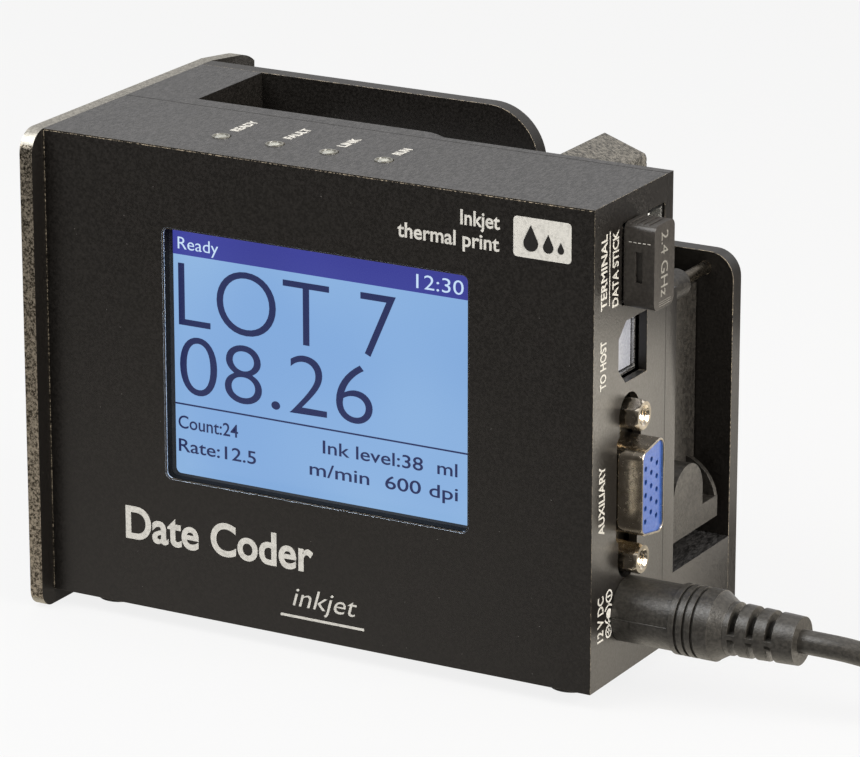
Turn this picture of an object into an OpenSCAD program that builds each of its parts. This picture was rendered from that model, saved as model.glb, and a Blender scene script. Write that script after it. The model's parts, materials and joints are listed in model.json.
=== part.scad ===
// Compact thermal-inkjet date coder for a packing line.
// Millimetres. All shapes are drawn in the case frame: X from the product side
// along the screen face, Y back from the screen face, Z up from the case's underside.
// place() then puts the origin under the middle of the object, on the surface it stands on.

/* [Case] */
// Width of the case along the screen
case_w = 105.6; // [103:0.1:112]
// Height of the case
case_h = 83; // [82:0.5:90]
// Depth of the front cover
cover_d = 26; // [25.8:0.1:28]
// Thickness of the cover's screen face
face_t = 2; // [1.6:0.1:2.4]
// Thickness of the cover's other walls
wall_t = 1.5; // [1.2:0.1:1.8]

/* [Cartridge bay] */
// Clear depth of the bay, front to back
bay_d = 21.5; // [21.3:0.1:24]
// Thickness of the wall between the electronics and the bay
bay_wall = 3.9; // [3.6:0.1:4.4]
// Width of the block that guides the print head
guide_w = 12.4; // [11.8:0.1:12.6]
// Height of the bay's floor
floor_h = 12.1; // [11:0.1:12.1]
// Thickness of the rear plate
rear_t = 3.1; // [2.8:0.1:3.4]
// Height of the rear plate beside the grip
step_h = 62.6; // [61:0.1:63]

/* [Wear plate] */
// Thickness of the plate that the products slide along
wear_t = 2.5; // [2:0.1:3]
// How far the plate reaches in front of the case
wear_lead = 3.6; // [3:0.1:5]
// How far the plate hangs below the case, which is also the height of the feet
stand_h = 2.7; // [2.5:0.1:3.5]
// Length of the plate's bent tail
tail_len = 10; // [8:0.5:12]
// Angle of the bent tail
tail_angle = 22; // [18:1:25]

/* [Screen] */
// Width of the screen opening
view_w = 58.7; // [57:0.1:59]
// Height of the screen opening
view_h = 44.3; // [43:0.1:44.5]
// Left edge of the screen opening
view_x = 23.7; // [23:0.1:24.5]
// Lower edge of the screen opening
view_z = 24.4; // [24:0.1:25]

/* [Connectors] */
// Height of the power jack
jack_z = 11.4; // [11:0.1:11.8]
// Middle of the 15-way connector
dsub_z = 32.8; // [32.4:0.1:33.2]
// Distance between the 15-way connector's jackscrews
dsub_pitch = 25; // [24.9:0.05:25.1]
// Middle of the square data port
usb_b_z = 56.2; // [56:0.1:56.6]
// Middle of the two upright data ports
usb_a_z = 71.4; // [71.2:0.1:71.8]
// How far the wireless receiver stands out
receiver_out = 5.9; // [5.5:0.1:7]

/* [Moving parts] */
// Height of the retainer's pivot
pin_z = 59.6; // [59:0.1:59.8]
// Distance of the retainer's pivot from the product side
pin_x = 100.2; // [99.8:0.1:100.6]
// Radius of the retainer's pivot pin
pin_r = 1.1; // [1:0.05:1.2]

/* [Power lead] */
// Diameter of the lead
cord_d = 4.1; // [3.8:0.1:4.2]
// Diameter of the stored coil at the middle of its turns
coil_d = 45; // [44:0.5:46]

/* [Hidden] */
$fn = 48;
gap = 0.3;
eps = 0.01;
back_y = cover_d + bay_wall;
bay_end = back_y + bay_d;
rear_y = bay_end + rear_t;
mid_bay = back_y + bay_d / 2;
bend_y = 55;
tail_y = bend_y + tail_len * cos(tail_angle);
box_mid_x = (case_w + receiver_out - wear_t) / 2;
box_mid_y = (tail_y - wear_lead) / 2;
tab_x = 58;
tab_r = 10;
thin_wall = 2;
lug_y = 19;

// The circuit board stands behind the screen and carries every connector.
pcb_y = 7;
pcb_t = 1.6;
pcb_back = pcb_y + pcb_t;
port_a_y = 12.8;
port_b_y = 21.9;
usb_b_y = 14;
usb_b_size = [10.2, 10.6];
usb_b_corner = 2.6;
usb_b_recess = 2;
dsub_y = 13;
dsub_size = [8, 16.5];
dsub_skin = 0.4;
dsub_out = 4.6;
jack_y = 12.5;
panel_y = 3.2;
cell = [48, 52];
cell_r = 10;
lens_x = [29.2, 39.7, 50.2, 60.8];
lens_y = 10.4;
lens_r = 1.6;
standoffs = [[14, 9], [14, 76], [80, 9], [80, 76]];

// The product sensor's eye, in Y and Z.
eye = [13, 25];
eye_r = 3;

// Fasteners: [x, z] or [y, z] of each screw.
cover_side_screws = [[22.5, 12], [22.5, 71]];
cover_under_screws = [[28, 22.5], [90, 22.5]];
wear_screws = [[38, 6], [38, 77], [46, 6], [46, 77]];
rear_screws = [[6.2, 42], [6.2, 66], [20, 6], [80, 6]];
screw_r = 1.5;
head_r = 2.8;
head_h = 1.6;
case_screw_len = 8;
plate_screw_len = 11;
rear_screw_len = 10;
under_bolts_x = [25, 85];
rear_bolts_x = [36, 96];
bolt_r = 2.1;
bolt_depth = 10;
rear_bolts_z = 6;

// Contacts of the cartridge, in Y and Z.
contact_r = 0.6;
contacts = [for (y = [36, 45], k = [0:4]) [y, 43 + 4.5 * k]];

// Print head and cartridge.
snout_y = [34, 47];
snout_z = [17, 33];
tank_x = [17, 77.6];
tank_y = [back_y + 0.8, bay_end - 0.8];
tank_z = [floor_h + gap, 74];
grip_x = [78, 89.1];
grip_z = [62.9, 81];

// Power plug, measured along X from the case.
plug_r = 5.6;
ring_start = 10.7;
ring_pitch = 1.5;
shoulder = [15.2, 17.8];
relief_start = 19.9;
relief_end = 32.4;
relief_slots = [for (k = [0:2]) relief_start + 0.9 + 3.3 * k];

// The lead lies on the standing surface past the plug, then in the coil's outer turn.
coil_turns = [4, 2];
coil_out = coil_d / 2 + coil_turns[0] * cord_d / 2;
coil_in = coil_d / 2 - coil_turns[0] * cord_d / 2;
coil_c = [176, 25 + coil_out - cord_d / 2];
lead_route = [
    [138, 12.5, 11.4], [142, 12.7, 11.3], [146, 13.4, 10.9], [150, 14.7, 9.9],
    [154, 16.6, 8.2], [158, 18.8, 6], [162, 21, 3.7], [166, 22.9, 1.7],
    [170, 24.2, 0.3], [173, 24.8, -0.4], [176, 25, -0.65]];
tail_route = [
    [176, 25, 3.45], [180, 25.1, 3.45], [184, 25.2, 3.6], [188, 25.3, 4],
    [192, 25.4, 4.4], [196, 25.5, 4.5]];
tail_end = tail_route[len(tail_route) - 1];
adapter_x = 208;
adapter = [50, 34, 27];
blade = [6.4, 1.5, 17];
blade_pitch = 12.7;

// ---- Shared shapes ----

module place() translate([-box_mid_x, -box_mid_y, stand_h]) children();

// A box between two corners.
module block(low, high) translate(low) cube(high - low);

// A round bar along X, Y or Z.
module bar_x(p, r, len) translate(p) rotate([0, 90, 0]) cylinder(r = r, h = len);
module bar_y(p, r, len) translate(p) rotate([-90, 0, 0]) cylinder(r = r, h = len);
module bar_z(p, r, len) translate(p) cylinder(r = r, h = len);

// A flat outline drawn in X and Z, made solid along Y.
module along_y(y, len) translate([0, y + len, 0]) rotate([90, 0, 0]) linear_extrude(len) children();

// A flat outline drawn in Y and Z, made solid along X.
module along_x(x, len)
    translate([x, 0, 0]) rotate([90, 0, 90]) linear_extrude(len) children();

// A rectangle with rounded corners, from its lower left corner.
module round_rect(size, r) {
    translate([r, 0]) square([size[0] - 2 * r, size[1]]);
    translate([0, r]) square([size[0], size[1] - 2 * r]);
    for (x = [r, size[0] - r], y = [r, size[1] - r]) translate([x, y]) circle(r);
}

// What is cut from an outline to round one corner; sx and sy point into the outline.
module corner_cut(p, r, sx, sy) translate(p) scale([sx, sy]) difference() {
    translate([-1, -1]) square(r + 1);
    translate([r, r]) circle(r);
}

// A countersunk screw pointing along -Z, its head's top at z = 0.
module screw(len) {
    translate([0, 0, -head_h]) cylinder(r1 = screw_r, r2 = head_r, h = head_h);
    translate([0, 0, -len]) cylinder(r = screw_r, h = len - head_h + eps);
}

// The recess that a countersunk screw sits in, the same size as the screw.
module screw_cut(len) {
    screw(len);
    cylinder(r = head_r, h = 1);
}

// A quarter-round row of points about c, from the given angle on.
function arc(c, r, from) = [for (k = [0:6]) c + r * [cos(from + 15 * k), sin(from + 15 * k)]];

// A D-shaped outline, a little higher towards +Y, with round corners; drawn in Y and Z.
function d_outline(size, r) =
    let (h = size[1] / 2 - r, d = size[0] / 2 - r, n = h - 0.8)
    concat(arc([d, h], r, 0), arc([-d, n], r, 90), arc([-d, -n], r, 180), arc([d, -h], r, 270));

// ---- Case ----

module dsub_opening() along_x(case_w - wall_t - 1, wall_t + 2) {
    translate([dsub_y - 4.3, dsub_z - 9.2]) round_rect([8.6, 18.4], 1.2);
    translate([dsub_y - 3.4, dsub_z - dsub_pitch / 2]) square([6.8, dsub_pitch]);
    for (s = [-1, 1]) translate([dsub_y, dsub_z + s * dsub_pitch / 2]) circle(3.6);
}

// The square port's outline, with the two corners towards the screen cut off.
module usb_b_outline(grow) {
    w = usb_b_size[0] / 2 + grow;
    h = usb_b_size[1] / 2 + grow;
    c = usb_b_corner;
    translate([usb_b_y, usb_b_z])
        polygon([[c - w, -h], [-w, c - h], [-w, h - c], [c - w, h], [w, h], [w, -h]]);
}

module front_cover() color([0.10, 0.09, 0.09]) place() difference() {
    block([0, 0, 0], [case_w, cover_d, case_h]);
    block([wall_t, face_t, wall_t], [case_w - wall_t, cover_d + 1, case_h - wall_t]);
    along_y(-1, face_t + 2)
        translate([view_x, view_z]) round_rect([view_w, view_h], 1);
    for (x = lens_x) bar_z([x, lens_y, case_h - wall_t - 1], lens_r + 0.05, wall_t + 2);
    for (y = [port_a_y, port_b_y])
        along_x(case_w - wall_t - 1, wall_t + 2)
            translate([y - 3.1, usb_a_z - 7]) round_rect([6.2, 14], 0.5);
    along_x(case_w - wall_t - 1, wall_t + 2) usb_b_outline(0);
    dsub_opening();
    bar_x([case_w - wall_t - 1, jack_y, jack_z], 4.6, wall_t + 2);
    bar_x([-1, eye[0], eye[1]], eye_r + 0.1, wall_t + 2);
    for (s = cover_side_screws)
        translate([0, s[0], s[1]]) rotate([0, -90, 0]) screw_cut(case_screw_len);
    for (s = cover_under_screws)
        translate([s[0], s[1], 0]) rotate([180, 0, 0]) screw_cut(case_screw_len);
}

// Lugs on the bay wall that the cover's screws go into, along its side and its underside.
module cover_lugs() {
    first = wall_t + gap;
    for (s = cover_side_screws) block([first, lug_y, s[1] - 4], [9, cover_d + eps, s[1] + 4]);
    for (s = cover_under_screws) block([s[0] - 4, lug_y, first], [s[0] + 4, cover_d + eps, 9]);
}

module chassis() color([0.12, 0.11, 0.11]) place() difference() {
    union() {
        block([0, cover_d, 0], [case_w, back_y, case_h]);
        block([0, back_y - eps, 0], [guide_w, bay_end, case_h]);
        block([0, back_y - eps, 0], [case_w, bay_end, floor_h]);
        cover_lugs();
    }
    // Thinner, rounded wall where the grip passes
    along_y(cover_d + thin_wall, bay_wall) difference() {
        translate([tab_x, step_h]) square([case_w, case_h]);
        rounded_end();
    }
    // Passage for the print head
    block([-1, snout_y[0] - 0.5, snout_z[0] - 0.5],
          [guide_w + 1, snout_y[1] + 0.5, snout_z[1] + 0.5]);
    // Slot for the contact cable
    block([13.5, cover_d - 1, 43.5], [14.8, back_y + 1, 54.5]);
    bar_y([pin_x, cover_d - 1, pin_z], pin_r, bay_wall + 2);
    for (p = standoffs) bar_y([p[0], cover_d - 1, p[1]], 1.25, 3.5);
    for (s = cover_side_screws)
        translate([0, s[0], s[1]]) rotate([0, -90, 0]) screw(case_screw_len);
    for (s = cover_under_screws)
        translate([s[0], s[1], 0]) rotate([180, 0, 0]) screw(case_screw_len);
    for (s = wear_screws)
        translate([-wear_t, s[0], s[1]]) rotate([0, -90, 0]) screw(plate_screw_len);
    for (s = rear_screws)
        translate([s[0], rear_y, s[1]]) rotate([-90, 0, 0]) screw(rear_screw_len);
    for (x = under_bolts_x) bar_z([x, mid_bay, -1], bolt_r, bolt_depth + 1);
    for (x = rear_bolts_x) bar_y([x, bay_end - bolt_depth, rear_bolts_z], bolt_r, bolt_depth + 1);
}

// The wall keeps its full thickness under a rounded corner at the top edge.
module rounded_end() intersection() {
    translate([tab_x - 1, step_h - 1]) square([tab_r + 1, case_h]);
    difference() {
        translate([tab_x - 1, case_h - tab_r]) square([tab_r + 1, tab_r]);
        corner_cut([tab_x + tab_r, case_h], tab_r, -1, -1);
    }
}

module rear_plate() color([0.14, 0.13, 0.13]) place() difference() {
    along_y(bay_end, rear_t) difference() {
        union() {
            square([case_w, step_h]);
            square([tab_x + tab_r, case_h]);
        }
        corner_cut([tab_x + tab_r, case_h], tab_r, -1, -1);
        corner_cut([case_w, step_h], 4.5, -1, -1);
    }
    bar_y([pin_x, bay_end - 1, pin_z], pin_r, rear_t + 2);
    for (s = rear_screws)
        translate([s[0], rear_y, s[1]]) rotate([-90, 0, 0]) screw_cut(rear_screw_len);
    for (x = rear_bolts_x) bar_y([x, bay_end - 1, rear_bolts_z], bolt_r + 0.4, rear_t + 2);
}

module wear_plate() color([0.62, 0.62, 0.62]) place() difference() {
    translate([0, 0, -stand_h]) linear_extrude(case_h + stand_h) {
        turn = [cos(tail_angle), -sin(tail_angle)] * wear_t;
        tip = [-wear_t + tail_len * sin(tail_angle), tail_y];
        polygon([[-wear_t, -wear_lead], [0, -wear_lead],
                 [0, bend_y - wear_t * tan(tail_angle / 2)], tip + turn, tip, [-wear_t, bend_y]]);
    }
    // Rounded corners of the lead-in edge and of the tail
    along_x(-wear_t - 1, wear_t + 2) {
        corner_cut([-wear_lead, case_h], 4, 1, -1);
        corner_cut([-wear_lead, -stand_h], 3, 1, 1);
    }
    along_x(-wear_t - 1, wear_t + 8) {
        corner_cut([tail_y, case_h], 4, -1, -1);
        corner_cut([tail_y, -stand_h], 4, -1, 1);
    }
    // Print window and the product sensor's eye
    block([-wear_t - 1, snout_y[0] - 1, snout_z[0] - 1], [1, snout_y[1] + 1, snout_z[1] + 1]);
    bar_x([-wear_t - 1, eye[0], eye[1]], eye_r + 0.1, wear_t + 2);
    for (s = wear_screws)
        translate([-wear_t, s[0], s[1]]) rotate([0, -90, 0]) screw_cut(plate_screw_len);
}

module feet() color([0.08, 0.08, 0.08]) place()
    for (x = [8, case_w - 8], y = [9, 45]) difference() {
        bar_z([x, y, -stand_h], 4, stand_h);
        bar_z([x, y, -stand_h - 1], 1.2, 1.8);
    }

module cover_screws() color([0.2, 0.2, 0.2]) place() {
    for (s = cover_side_screws)
        translate([0, s[0], s[1]]) rotate([0, -90, 0]) screw(case_screw_len);
    for (s = cover_under_screws)
        translate([s[0], s[1], 0]) rotate([180, 0, 0]) screw(case_screw_len);
}

module wear_plate_screws() color([0.75, 0.75, 0.74]) place()
    for (s = wear_screws)
        translate([-wear_t, s[0], s[1]]) rotate([0, -90, 0]) screw(plate_screw_len);

module rear_plate_screws() color([0.2, 0.2, 0.2]) place()
    for (s = rear_screws)
        translate([s[0], rear_y, s[1]]) rotate([-90, 0, 0]) screw(rear_screw_len);

// ---- Screen and circuit board ----

module lcd_frame() color([0.75, 0.75, 0.76]) place() difference() {
    block([view_x - 4, panel_y, view_z - 4.2],
          [view_x + view_w + 4, pcb_y - 0.2, view_z + view_h + 4]);
    block([view_x - 2.2, face_t, view_z - 2.2], [view_x + view_w + 2.2, 5, view_z + view_h + 2.2]);
}

// Foam frame that seals the screen to the back of the cover.
module lcd_gasket() color([0.05, 0.05, 0.05]) place() along_y(face_t, panel_y - face_t) difference() {
    translate([view_x - 3, view_z - 3]) square([view_w + 6, view_h + 6]);
    translate([view_x, view_z]) round_rect([view_w, view_h], 1);
}

module lcd_panel() color([0.45, 0.62, 0.85]) place()
    block([view_x - 2, panel_y, view_z - 2], [view_x + view_w + 2, 5, view_z + view_h + 2]);

module lcd_flex() color([0.80, 0.55, 0.15]) place() {
    block([40, 5.6, view_z - 8], [60, 5.8, view_z - 4.2]);
    block([40, 5.6, view_z - 8], [60, pcb_y, view_z - 7.8]);
}

module main_pcb() color([0.05, 0.30, 0.16]) place() difference() {
    block([6, pcb_y, 5], [case_w - 2.5, pcb_back, 79]);
    for (p = standoffs) bar_y([p[0], pcb_y - 1, p[1]], 1.6, pcb_t + 2);
}

module pcb_standoffs() color([0.80, 0.68, 0.35]) place()
    for (p = standoffs) difference() {
        union() {
            translate([p[0], cover_d, p[1]]) rotate([90, 0, 0])
                cylinder(r = 2.9, h = cover_d - pcb_back, $fn = 6);
            bar_y([p[0], cover_d - eps, p[1]], 1.25, 2.4);
        }
        bar_y([p[0], pcb_back - 1, p[1]], 1.25, 7);
    }

module pcb_screws() color([0.78, 0.78, 0.78]) place()
    for (p = standoffs) {
        bar_y([p[0], pcb_y - 1.9, p[1]], 2.6, 1.9);
        bar_y([p[0], pcb_y - eps, p[1]], 1.25, pcb_t + 5);
    }

// A side-looking lamp: a domed lens in the cover's top, standing on the board's edge.
module lamp(k) place() {
    bar_z([lens_x[k], lens_y, 76], lens_r, case_h - 76 + 0.2);
    block([lens_x[k] - 1.6, pcb_back, 73], [lens_x[k] + 1.6, 12, 76 + eps]);
}

module led_sensor() color([0.72, 0.74, 0.72]) lamp(0);
module led_alarm() color([0.72, 0.74, 0.72]) lamp(1);
module led_link() color([0.72, 0.74, 0.72]) lamp(2);
module led_print() color([0.72, 0.74, 0.72]) lamp(3);

module coin_cell() color([0.80, 0.80, 0.80]) place()
    bar_y([cell[0], pcb_back + 0.65, cell[1]], cell_r, 3.2);

module cell_holder() color([0.12, 0.12, 0.12]) place() difference() {
    bar_y([cell[0], pcb_back, cell[1]], cell_r + 1.8, 4.4);
    bar_y([cell[0], pcb_back + 0.6, cell[1]], cell_r + 0.1, 6);
    translate([cell[0] - 8, pcb_back + 0.6, cell[1] + 6]) cube([16, 12, 12]);
}

// The product sensor looks out through the cover and the wear plate.
module photocell() color([0.10, 0.10, 0.12]) place() {
    bar_x([-wear_t + 0.6, eye[0], eye[1]], eye_r, 13);
    block([10, pcb_back, eye[1] - 5], [16, 18, eye[1] + 5]);
}

// ---- Connectors ----

module usb_a_shell() color([0.72, 0.72, 0.72]) place() difference() {
    union() {
        block([91, pcb_back, usb_a_z - 6.7], [case_w - wall_t - 0.3, port_b_y + 2.9, usb_a_z + 6.7]);
        for (y = [port_a_y, port_b_y])
            block([91, y - 2.9, usb_a_z - 6.7], [case_w - 0.3, y + 2.9, usb_a_z + 6.7]);
    }
    for (y = [port_a_y, port_b_y])
        block([92, y - 2.55, usb_a_z - 6.3], [case_w + 1, y + 2.55, usb_a_z + 6.3]);
    block([92, port_a_y + 2.95, usb_a_z - 6.3], [case_w + 1, port_b_y - 2.95, usb_a_z + 6.3]);
}

module usb_a_tongues() color([0.92, 0.92, 0.90]) place()
    for (y = [port_a_y, port_b_y])
        block([92, y - 1.5, usb_a_z - 5.6], [case_w - 1.4, y + 0.3, usb_a_z + 5.6]);

module usb_b_shell() color([0.80, 0.80, 0.79]) place() difference() {
    along_x(89, case_w - usb_b_recess - 89) usb_b_outline(-0.2);
    along_x(90, case_w) usb_b_outline(-0.7);
}

// Pale plastic lining of the square port, with the slot that the plug's tongue enters.
module usb_b_core() color([0.86, 0.86, 0.92]) place() difference() {
    along_x(90, case_w - usb_b_recess - 0.5 - 90) usb_b_outline(-0.9);
    block([93, usb_b_y - 1.6, usb_b_z - 3.1], [case_w, usb_b_y - 0.4, usb_b_z + 3.1]);
}

module dsub_shell() color([0.78, 0.74, 0.66]) place() difference() {
    union() {
        block([102, dsub_y - 4.2, dsub_z - 15.4], [103, dsub_y + 6.2, dsub_z + 15.4]);
        along_x(102.9, case_w + dsub_out - 102.9)
            translate([dsub_y, dsub_z]) polygon(d_outline(dsub_size, 1.8));
    }
    along_x(101, 10) dsub_inside();
    for (s = [-1, 1]) bar_x([101, dsub_y, dsub_z + s * dsub_pitch / 2], 1.55, 3);
}

module dsub_inside() translate([dsub_y, dsub_z])
    polygon(d_outline(dsub_size - 2 * [dsub_skin, dsub_skin], 1.8 - dsub_skin));

// Three staggered rows of five contacts.
module dsub_insert() color([0.12, 0.28, 0.72]) place() difference() {
    along_x(98, case_w + dsub_out - 0.4 - 98) dsub_inside();
    for (row = [-1, 0, 1], k = [-2:2])
        bar_x([106, dsub_y + 1.98 * row, dsub_z + 2.29 * (k - 0.25 * (row == 0 ? -1 : 1))], 0.45, 5);
}

module dsub_jackscrews() color([0.80, 0.77, 0.70]) place()
    for (s = [-1, 1]) difference() {
        union() {
            translate([103, dsub_y, dsub_z + s * dsub_pitch / 2])
                rotate([0, 90, 0]) cylinder(r = 2.75, h = 5.4, $fn = 6);
            bar_x([97.5, dsub_y, dsub_z + s * dsub_pitch / 2], 1.5, 6);
        }
        bar_x([103.4, dsub_y, dsub_z + s * dsub_pitch / 2], 1.25, 6);
    }

module dsub_housing() color([0.08, 0.08, 0.08]) place() difference() {
    block([92, pcb_back, dsub_z - 15.4], [102, dsub_y + 6.2, dsub_z + 15.4]);
    along_x(98, 10) dsub_inside();
    for (s = [-1, 1]) bar_x([97.5, dsub_y, dsub_z + s * dsub_pitch / 2], 1.5, 6);
}

module dc_jack() color([0.06, 0.06, 0.06]) place() {
    difference() {
        union() {
            block([91.5, pcb_back, jack_z - 4.8], [103.6, 17, jack_z + 4.8]);
            bar_x([103.5, jack_y, jack_z], 4.5, case_w - 103.6);
        }
        bar_x([95.5, jack_y, jack_z], 2.85, 20);
    }
    bar_x([95, jack_y, jack_z], 1, 9);
}

// ---- Bay fittings ----

module contact_block() color([0.07, 0.07, 0.07]) place() difference() {
    block([guide_w, 32, 38], [guide_w + 3, 49, 66]);
    for (c = contacts) bar_x([guide_w + 1, c[0], c[1]], contact_r, 4);
}

module contact_pins() color([0.85, 0.70, 0.30]) place()
    for (c = contacts) {
        bar_x([guide_w + 1, c[0], c[1]], contact_r, 2.5);
        translate([guide_w + 3.5, c[0], c[1]]) sphere(r = contact_r, $fn = 24);
    }

module contact_flex() color([0.80, 0.55, 0.15]) place()
    block([14, pcb_back, 44], [14.3, 32, 54]);

module cross_pin() color([0.55, 0.54, 0.52]) place()
    bar_y([pin_x, cover_d + 0.5, pin_z], pin_r, rear_y - cover_d - 0.8);

// A strap hung on the pin, with a thumb rest at its foot.
module retainer_lever() color([0.10, 0.10, 0.10]) place() difference() {
    union() {
        block([pin_x - 3.4, back_y + gap, 16.4], [pin_x - 1.4, bay_end - gap, pin_z - 2.6]);
        bar_y([pin_x, 33.6, pin_z], 2.5, 7.4);
        block([pin_x - 3.4, 33.6, pin_z - 3], [pin_x - 0.4, 41, pin_z]);
        block([pin_x - 1.5, 31, 16.4], [pin_x + 4.3, 49, 20.2]);
        along_x(pin_x - 1.5, 5.8) {
            translate([37.6, 23.4]) circle(5.6);
            translate([32, 20]) square([11.2, 3.4]);
        }
        along_y(48, 1) intersection() {
            translate([pin_x - 1.5, 20]) square([5.8, 8]);
            translate([pin_x - 3.7, 19]) circle(8);
        }
    }
    bar_y([pin_x, back_y, pin_z], pin_r + 0.06, bay_d);
}

// The outer shape of the torsion spring's close-wound turns.
module lever_spring() color([0.70, 0.70, 0.68]) place() translate([pin_x, back_y + 0.4, pin_z])
    rotate([-90, 0, 0]) rotate_extrude() translate([pin_r + 0.25, 0]) square([0.7, 2.8]);

// ---- Cartridge ----

module cartridge_body() color([0.09, 0.09, 0.09]) place() {
    along_y(tank_y[0], tank_y[1] - tank_y[0])
        polygon([[tank_x[0], tank_z[0]], [tank_x[1] - 3, tank_z[0]], [tank_x[1], tank_z[0] + 3],
                 [tank_x[1], tank_z[1] - 2.5], [tank_x[0] + 4, tank_z[1] - 2.5],
                 [tank_x[0], tank_z[1] - 6]]);
    block([-wear_t + 0.5, snout_y[0], snout_z[0]], [tank_x[0] + eps, snout_y[1], snout_z[1]]);
}

module cartridge_lid() color([0.14, 0.14, 0.14]) place()
    block([tank_x[0] + 4, tank_y[0] - 0.2, tank_z[1] - 2.5], [tank_x[1], tank_y[1] + 0.2, tank_z[1]]);

// The finger ramp at the cartridge's outer end.
module cartridge_grip() color([0.17, 0.16, 0.16]) place() difference() {
    union() {
        along_y(back_y + 0.5, bay_d - 1) difference() {
            polygon([[grip_x[0], grip_z[0]], [grip_x[1], grip_z[0]], [grip_x[1], grip_z[1] - 2.8],
                     [grip_x[0] + 3, grip_z[1]], [grip_x[0], grip_z[1] - 1.8]]);
            translate([grip_x[1], grip_z[1] - 2.8]) rotate(-20)
                corner_cut([0.4, 0.2], 1.6, -1, -1);
        }
        block([tank_x[1], tank_y[0], grip_z[0]], [grip_x[0] + eps, tank_y[1], 71]);
    }
}

module nozzle_plate() color([0.80, 0.62, 0.25]) place() difference() {
    block([-wear_t + 0.2, 35, 18], [-wear_t + 0.5, 46, 32]);
    for (y = [39, 42])
        block([-wear_t - 1, y - 0.2, 18.6], [0, y + 0.2, 31.3]);
}

module cartridge_contacts() color([0.82, 0.66, 0.28]) place()
    block([tank_x[0] - 0.2, 34, 41], [tank_x[0], 47, 64]);

// ---- Wireless receiver ----

module receiver_body() color([0.16, 0.16, 0.16]) place() difference() {
    along_x(case_w + gap, receiver_out - gap)
        translate([port_a_y - 3.1, usb_a_z - 7.2]) round_rect([7.2, 14.4], 1.4);
    // Ribs on the ends and a thumb slot on the front
    for (k = [0:3], end = [-7.4, 7])
        block([case_w + 1.1 + 1.1 * k, port_a_y - 4, usb_a_z + end],
              [case_w + 1.6 + 1.1 * k, port_a_y + 5, usb_a_z + end + 0.4]);
    block([case_w + 2.4, port_a_y - 4, usb_a_z - 2.6], [case_w + 3.7, port_a_y - 2.4, usb_a_z + 2.6]);
}

module receiver_plug() color([0.75, 0.75, 0.75]) place() difference() {
    block([case_w - 11.6, port_a_y - 2.25, usb_a_z - 6], [case_w + gap, port_a_y + 2.25, usb_a_z + 6]);
    block([case_w - 13, port_a_y - 1.95, usb_a_z - 5.75], [case_w - 0.6, port_a_y + 1, usb_a_z + 5.75]);
}

// ---- Power lead ----

module dc_plug() color([0.07, 0.07, 0.07]) place()
    translate([case_w, jack_y, jack_z]) rotate([0, 90, 0]) difference() {
        union() {
            translate([0, 0, 0.1]) cylinder(r = plug_r, h = ring_start);
            cylinder(r = plug_r - 0.1, h = shoulder[0] + eps);
            for (k = [0:2]) translate([0, 0, ring_start + ring_pitch * k])
                cylinder(r = plug_r + 0.4, h = 1);
            translate([0, 0, shoulder[0]]) cylinder(r = plug_r + 0.4, h = shoulder[1] - shoulder[0]);
            translate([0, 0, shoulder[1] - eps])
                cylinder(r1 = plug_r + 0.3, r2 = 4.6, h = relief_start - shoulder[1]);
        }
        translate([0, 0, -1]) cylinder(r = 2.7, h = 5);
    }

module dc_barrel() color([0.75, 0.73, 0.68]) place()
    translate([case_w, jack_y, jack_z]) rotate([0, 90, 0]) difference() {
        translate([0, 0, -9.5]) cylinder(r = 2.7, h = 13.5);
        translate([0, 0, -10]) cylinder(r = 1.25, h = 10.5);
    }

// Four rings joined by a web on each side of the lead.
module plug_relief() color([0.08, 0.08, 0.08]) place()
    translate([case_w, jack_y, jack_z]) rotate([0, 90, 0]) difference() {
        translate([0, 0, relief_start - eps])
            cylinder(r1 = 4.55, r2 = 4.1, h = relief_end - relief_start);
        for (x = relief_slots) translate([0, 0, x]) difference() {
            cylinder(r = plug_r, h = 1.3);
            translate([0, 0, -1]) cylinder(r = cord_d / 2 + 0.5, h = 3);
            translate([-0.4, -plug_r, -1]) cube([0.8, 2 * plug_r, 3]);
        }
    }

// A tube swept along a route: one ring of points at each stop, square to the way.
function unit(v) = v / norm(v);
function way(r, k) =
    unit(r[min(k + 1, len(r) - 1)] - r[max(k - 1, 0)]);
function ring(r, k, n) =
    let (w = way(r, k), side = unit(cross(w, [0, 0, 1])), up = cross(side, w))
    [for (j = [0:n - 1])
        r[k] + cord_d / 2 * (cos(360 * j / n) * side + sin(360 * j / n) * up)];

module cord_tube(route) {
    n = 12;
    stops = len(route);
    points = [for (k = [0:stops - 1]) each ring(route, k, n)];
    sides = [for (k = [0:stops - 2], j = [0:n - 1])
        [k * n + j, k * n + (j + 1) % n, (k + 1) * n + (j + 1) % n, (k + 1) * n + j]];
    start = [[for (j = [n - 1:-1:0]) j]];
    end = [[for (j = [0:n - 1]) (stops - 1) * n + j]];
    polyhedron(points, concat(start, sides, end), convexity = 4);
}

module power_cord() color([0.07, 0.07, 0.07]) place() cord_tube(lead_route);
module cord_tail() color([0.07, 0.07, 0.07]) place() cord_tube(tail_route);

// The outer shape of the stored turns.
module cord_coil() color([0.07, 0.07, 0.07]) place() translate([coil_c[0], coil_c[1], -stand_h])
    rotate_extrude($fn = 72) translate([coil_in, 0])
        round_rect([coil_out - coil_in, coil_turns[1] * cord_d], 1.8);

module coil_tie() color([0.12, 0.12, 0.12]) place()
    translate([coil_c[0] + coil_in - 0.9, coil_c[1], -stand_h]) difference() {
        translate([0, -4, 0]) cube([coil_out - coil_in + 1.8, 8, coil_turns[1] * cord_d + 0.9]);
        translate([0.8, -5, -1]) cube([coil_out - coil_in + 0.2, 10, coil_turns[1] * cord_d + 1.1]);
    }

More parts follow.
